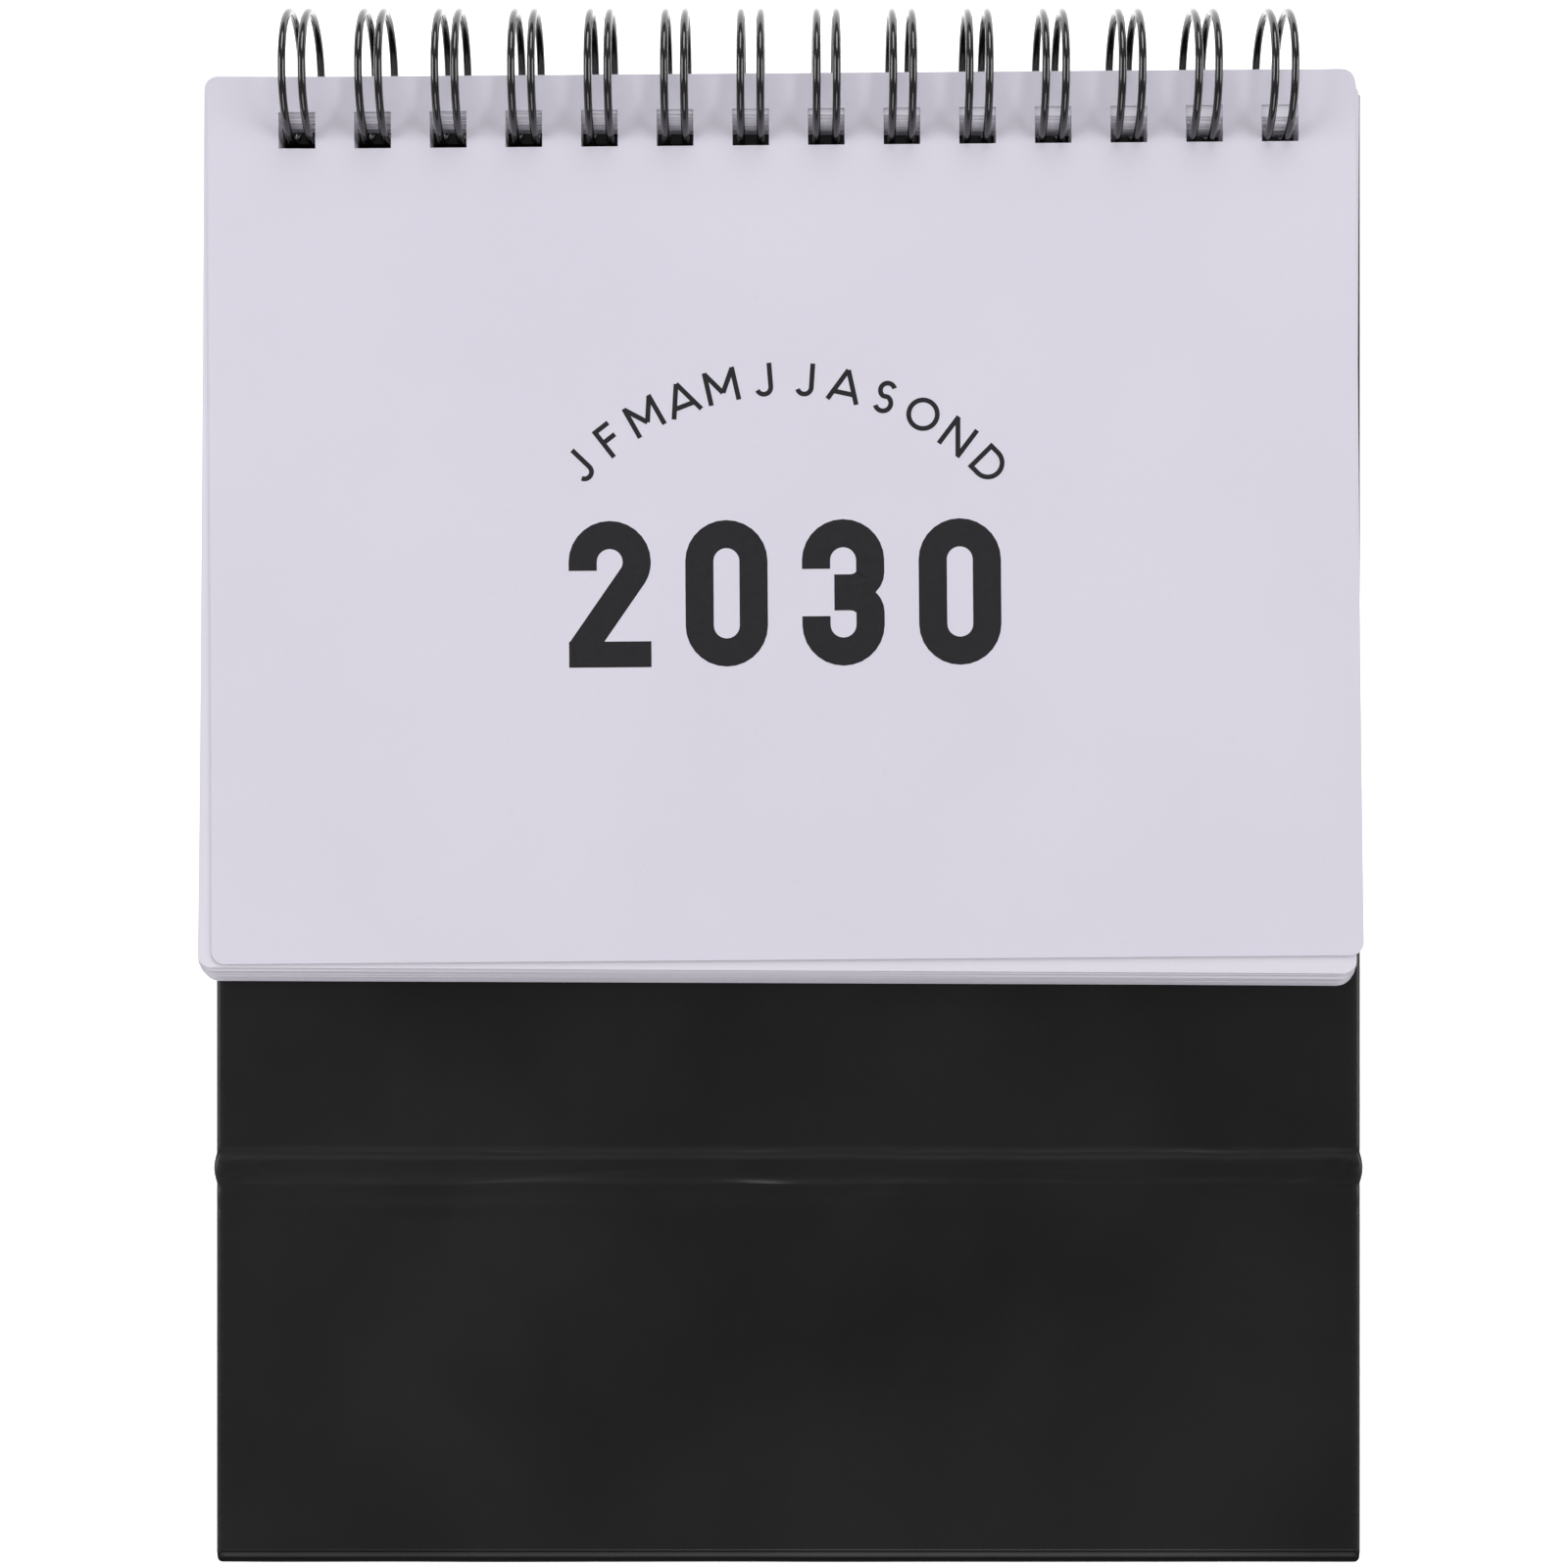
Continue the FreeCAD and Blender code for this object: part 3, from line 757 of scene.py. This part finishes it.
def crease_places():
    """Planes across Y, close together where the front crease is worked."""
    fine = [crease_high + 3.0 * MM - 0.22 * MM * index for index in range(58)]
    coarse = steps(crease_high + 3.0 * MM, front_high.y, 26) + steps(base_low.y, fine[-1], 12)
    return fine + coarse + [front_high.y - EDGE_ROUNDING * share for share in (0.12, 0.3, 0.55, 0.8, 1.0)]


front_skin = wrapped("front_wrap", ("front_board_wrap", "front_crease_strip", "base_front_wrap"),
                     outer_z, front_low.z, crease_places(), black_wrap, "black_wrap", None,
                     creased=True, free_top=front_high.y, seed=1.0)
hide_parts("front_board_wrap", "front_crease_strip", "base_front_wrap")
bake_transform(front_skin)

back_low, back_high = (Vector(corner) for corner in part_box("back_board_wrap"))
rear_low, rear_high = (Vector(corner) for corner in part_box("base_rear_wrap"))
crease_mid = (crease_high + crease_low) / 2
back_rows = steps(crease_mid, back_high.y, 26) + [back_high.y - EDGE_ROUNDING * share
                                                   for share in (0.12, 0.3, 0.55, 0.8, 1.0)]
back_skin = wrapped("back_wrap", ("back_board_wrap", "back_crease_strip"), back_low.z, back_high.z,
                    back_rows, black_wrap, "black_wrap", "back_board", clip=(crease_mid, True),
                    creased=False, free_top=back_high.y, seed=11.0)
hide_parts("back_board_wrap", "back_crease_strip")
rear_skin = wrapped("rear_base_wrap", ("base_rear_wrap", "back_crease_strip"), rear_low.z, rear_high.z,
                    steps(rear_low.y, crease_mid, 12), black_wrap, "black_wrap", "base_rear",
                    clip=(crease_mid, False), creased=False, seed=17.0)
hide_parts("base_rear_wrap")


# ---- Centre fold ----

def centre_fold():
    """The wrap where it turns under at the bottom edge, from one base half to the other."""
    low, high = (Vector(corner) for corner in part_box("centre_fold_strip"))
    radius = (high.z - low.z) / 2
    axis_z = (high.z + low.z) / 2
    across = sorted(side_places() + [-board_half, board_half])
    turns = [math.pi / 2 + math.pi * index / 24 for index in range(25)]
    points = []
    for x in across:
        fall = round_drop(board_half - abs(x))
        dent = 0.10 * wave(x / MM, 0.0, 0.05, 21.0) * MM
        for turn in turns:
            reach = radius - fall
            flat = 1.0 - 0.12 * math.cos(turn) ** 2
            back = (radius - fall) * flat * math.cos(turn) + dent * math.cos(turn) ** 2
            edge_fade = min(1.0, max(0.0, (board_half - abs(x)) / (3.0 * EDGE_ROUNDING)))
            relief = board_relief(x, high.y, 1.0) * edge_fade
            upper = relief * max(0.0, math.sin(turn)) ** 4
            points.append((x, high.y + back, axis_z + reach * math.sin(turn) + upper))
    count = len(turns)
    faces = [(column * count + row, (column + 1) * count + row, (column + 1) * count + row + 1,
              column * count + row + 1) for column in range(len(across) - 1) for row in range(count - 1)]
    mesh = bpy.data.meshes.new("fold_wrap")
    mesh.from_pydata(points, [], faces)
    piece = new_piece("fold_wrap", mesh, fold_paper, None, "black_wrap", "centre_fold_strip")
    thick = piece.modifiers.new("paper", "SOLIDIFY")
    thick.thickness = 0.2 * MM
    thick.offset = -1.0
    surface = bmesh.new()
    surface.from_mesh(mesh)
    bmesh.ops.recalc_face_normals(surface, faces=surface.faces)
    axis = Vector((0, high.y, axis_z))
    outward = sum(face.normal.dot(face.calc_center_median() - axis) for face in surface.faces)
    if outward < 0:
        bmesh.ops.reverse_faces(surface, faces=surface.faces)
    for face in surface.faces:
        face.smooth = True
    surface.to_mesh(mesh)
    surface.free()
    solid = bpy.data.meshes.new_from_object(piece.evaluated_get(bpy.context.evaluated_depsgraph_get()))
    piece.modifiers.clear()
    piece.data = solid
    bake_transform(piece)


centre_fold()

for node, cad in frame["nodes"].items():
    if node.endswith("_core"):
        finish = core_board
    elif node.endswith("_lining"):
        finish = black_lining
    else:
        continue
    cad.data.materials.clear()
    cad.data.materials.append(finish)


# ---- Twin-loop wire ----

WIRE = 0.9 * MM
SPINE_ANGLE = math.radians(278.0)
TIP_ANGLE = math.radians(250.0)
LINK_BEND = 0.8 * MM
ring_radius = first_high.y - ring_axis.y - WIRE / 2
half_pair = (first_high.x - first_low.x - WIRE) / 2
loop_count = len(LOOPS)
loop_pitch = (last_high.x - first_high.x) / (loop_count - 1)
first_middle = (first_high.x + first_low.x) / 2


def on_wire(x, angle, along=0.0):
    """A point of the wire: its place across, its angle from +Y towards +Z, and a step along."""
    return Vector((x, ring_axis.y + ring_radius * math.cos(angle) - along * math.sin(angle),
                   ring_axis.z + ring_radius * math.sin(angle) + along * math.cos(angle)))


def loop_line():
    """Up one strand, round the tip and back down the other strand."""
    around, around_tip = 96, 14
    start, end = SPINE_ANGLE, TIP_ANGLE + 2 * math.pi
    angles = [start + (end - start) * index / around for index in range(around + 1)]
    left = [on_wire(first_middle - half_pair, angle) for angle in angles]
    right = [on_wire(first_middle + half_pair, angle) for angle in reversed(angles)]
    tip = []
    for index in range(1, around_tip):
        turn = math.pi * index / around_tip
        tip.append(on_wire(first_middle - half_pair * math.cos(turn), TIP_ANGLE, half_pair * math.sin(turn)))
    return left + tip + right


def link_line():
    """From one loop's right strand across to the next loop's left strand."""
    corner = 8
    left = first_middle + half_pair + LINK_BEND
    right = first_middle + loop_pitch - half_pair - LINK_BEND
    turns = [math.pi / 2 * index / corner for index in range(corner + 1)]
    down = [on_wire(left - LINK_BEND * math.cos(turn), SPINE_ANGLE, -LINK_BEND * math.sin(turn))
            for turn in turns]
    up = [on_wire(right + LINK_BEND * math.sin(turn), SPINE_ANGLE, -LINK_BEND * math.cos(turn))
          for turn in turns]
    return down + up


def wire_row_tree():
    """Geometry Nodes: a bent wire line made round, and repeated along the row."""
    tree = bpy.data.node_groups.new("wire_row", "GeometryNodeTree")
    panel = tree.interface
    panel.new_socket("Geometry", in_out="INPUT", socket_type="NodeSocketGeometry")
    for name, kind in (("Count", "NodeSocketInt"), ("Pitch", "NodeSocketFloat"),
                       ("Wire Radius", "NodeSocketFloat"), ("Sides", "NodeSocketInt"),
                       ("Coat", "NodeSocketMaterial")):
        panel.new_socket(name, in_out="INPUT", socket_type=kind)
    panel.new_socket("Geometry", in_out="OUTPUT", socket_type="NodeSocketGeometry")

    def add(kind, settings=(), **sources):
        node = tree.nodes.new(kind)
        for name, setting in dict(settings).items():
            setattr(node, name, setting)
        for name, source in sources.items():
            socket = node.inputs[name.replace("_", " ")]
            if isinstance(source, bpy.types.NodeSocket):
                tree.links.new(source, socket)
            else:
                socket.default_value = source
        return node

    given = add("NodeGroupInput")
    section = add("GeometryNodeCurvePrimitiveCircle", Resolution=given.outputs["Sides"],
                  Radius=given.outputs["Wire Radius"])
    tube = add("GeometryNodeCurveToMesh", Curve=given.outputs["Geometry"], Profile_Curve=section.outputs[0],
               Fill_Caps=True)
    smooth = add("GeometryNodeSetShadeSmooth", Geometry=tube.outputs[0])
    offset = add("ShaderNodeCombineXYZ", X=given.outputs["Pitch"])
    row = add("GeometryNodeMeshLine", {"mode": "OFFSET"}, Count=given.outputs["Count"],
              Offset=offset.outputs[0])
    copies = add("GeometryNodeInstanceOnPoints", Points=row.outputs[0], Instance=smooth.outputs[0])
    real = add("GeometryNodeRealizeInstances", Geometry=copies.outputs[0])
    coated = add("GeometryNodeSetMaterial", Geometry=real.outputs[0], Material=given.outputs["Coat"])
    out = add("NodeGroupOutput")
    tree.links.new(coated.outputs[0], out.inputs[0])
    return tree


def wire_row(name, line, count, *replaced):
    """A row of equal bent wires, as one plain mesh."""
    curve = bpy.data.curves.new(name, "CURVE")
    curve.dimensions = "3D"
    spline = curve.splines.new("POLY")
    spline.points.add(len(line) - 1)
    for point, place in zip(spline.points, line):
        point.co = (*place, 1.0)
    source = bpy.data.objects.new(f"{name}_line", curve)
    bpy.context.scene.collection.objects.link(source)
    modifier = source.modifiers.new("row", "NODES")
    modifier.node_group = row_tree
    inputs = {item.name: item.identifier for item in row_tree.interface.items_tree if item.in_out == "INPUT"}
    for title, amount in (("Count", count), ("Pitch", loop_pitch), ("Wire Radius", WIRE / 2), ("Sides", 14),
                          ("Coat", wire_coat)):
        modifier[inputs[title]] = amount
    bpy.context.view_layer.update()
    mesh = bpy.data.meshes.new_from_object(source.evaluated_get(bpy.context.evaluated_depsgraph_get()))
    bpy.data.objects.remove(source)
    surface = bmesh.new()
    surface.from_mesh(mesh)
    bmesh.ops.recalc_face_normals(surface, faces=surface.faces)
    surface.to_mesh(mesh)
    surface.free()
    return new_piece(name, mesh, wire_coat, "back_board", "black_wire", *replaced)


row_tree = wire_row_tree()
wire_row("twin_loops", loop_line(), loop_count, *LOOPS)
wire_row("wire_spine", link_line(), loop_count - 1, "wire_spine_links")


# ---- Studio ----

def soft_light(name, place, aim, size, power, shape="RECTANGLE"):
    """A soft area light that points at a place."""
    light = bpy.data.lights.new(name, "AREA")
    light.shape = shape
    light.size = size
    if shape == "RECTANGLE":
        light.size_y = size
    light.energy = power
    lamp = bpy.data.objects.new(name, light)
    lamp.location = place
    lamp.rotation_euler = (Vector(aim) - Vector(place)).to_track_quat("-Z", "Y").to_euler()
    bpy.context.scene.collection.objects.link(lamp)
    return lamp


def floor():
    """A wide pale floor under the lowest point of the wire, with a painted shadow, nearly black, where the
    closed boards lie.
    """
    reach = 3.0
    mesh = bpy.data.meshes.new("floor")
    corners = [(-reach, -reach), (reach, -reach), (reach, reach), (-reach, reach)]
    mesh.from_pydata([(x, y, cad_box[0][2]) for x, y in corners], [], [(0, 1, 2, 3)])
    # The painted shadow runs from the base's low edge to the back board's top edge.
    mesh.materials.append(studio_white("studio_floor", base_low.y, back_high.y))
    plane = bpy.data.objects.new("floor", mesh)
    bpy.context.scene.collection.objects.link(plane)


floor()
scene = bpy.context.scene
scene.view_settings.view_transform = "Standard"
world = bpy.data.worlds.new("studio")
world.use_nodes = True
sky = world.node_tree
ambient = sky.nodes["Background"]
ambient.inputs["Color"].default_value = (1.0, 1.0, 1.0, 1.0)
ambient.inputs["Strength"].default_value = 0.17
backdrop = sky.nodes.new("ShaderNodeBackground")
backdrop.inputs["Color"].default_value = (1.0, 1.0, 1.0, 1.0)
choice = sky.nodes.new("ShaderNodeMixShader")
sky.links.new(sky.nodes.new("ShaderNodeLightPath").outputs["Is Camera Ray"], choice.inputs[0])
sky.links.new(ambient.outputs[0], choice.inputs[1])
sky.links.new(backdrop.outputs[0], choice.inputs[2])
sky.links.new(choice.outputs[0], sky.nodes["World Output"].inputs[0])
scene.world = world

middle = Vector(((cad_box[0][0] + cad_box[1][0]) / 2, (cad_box[0][1] + cad_box[1][1]) / 2, cover_high.z))
for name, across, along, power in (("left", -0.75, 0.15, 4.6), ("right", 0.75, 0.10, 3.9),
                                   ("head", 0.05, 0.85, 4.7), ("foot", 0.0, -0.80, 2.6)):
    soft_light(f"{name}_softbox", middle + Vector((across, along, 0.62)), middle, 0.55, power)

CAMERA_HEIGHT = 333.0 * MM
CAMERA_ACROSS, CAMERA_ALONG = -0.5 * MM, -19.1 * MM
CAMERA_LENS = 68.3
board_middle = (crease_high + back_high.y) / 2
camera_data = bpy.data.cameras.new("camera")
camera_data.sensor_width = 36.0
camera_data.lens = CAMERA_LENS
camera = bpy.data.objects.new("camera", camera_data)
camera_place = Vector((CAMERA_ACROSS, board_middle + CAMERA_ALONG, cover_high.z + CAMERA_HEIGHT))
camera.location = camera_place
camera.rotation_euler = (0.0, 0.0, 0.0)
scene.collection.objects.link(camera)
scene.camera = camera

# Small round lamps beside the camera: the satin film shows each as a soft disc.
# Each is its disc's place on the boards from below the camera, its size in millimetres and its power.
LAMPS = ((-46.0, -72.5, 33.0, 0.0028), (-40.0, -51.0, 26.0, 0.0010), (-28.5, -84.5, 30.0, 0.0012))
for index, (across, along, size, power) in enumerate(LAMPS):
    lamp_place = camera_place + Vector((2 * across * MM, 2 * along * MM, 0.0))
    glow = soft_light(f"lamp_{index}", lamp_place, lamp_place - Vector((0, 0, 1)), size * MM, power, "DISK")
    glow.rotation_euler = (0.0, 0.0, 0.0)
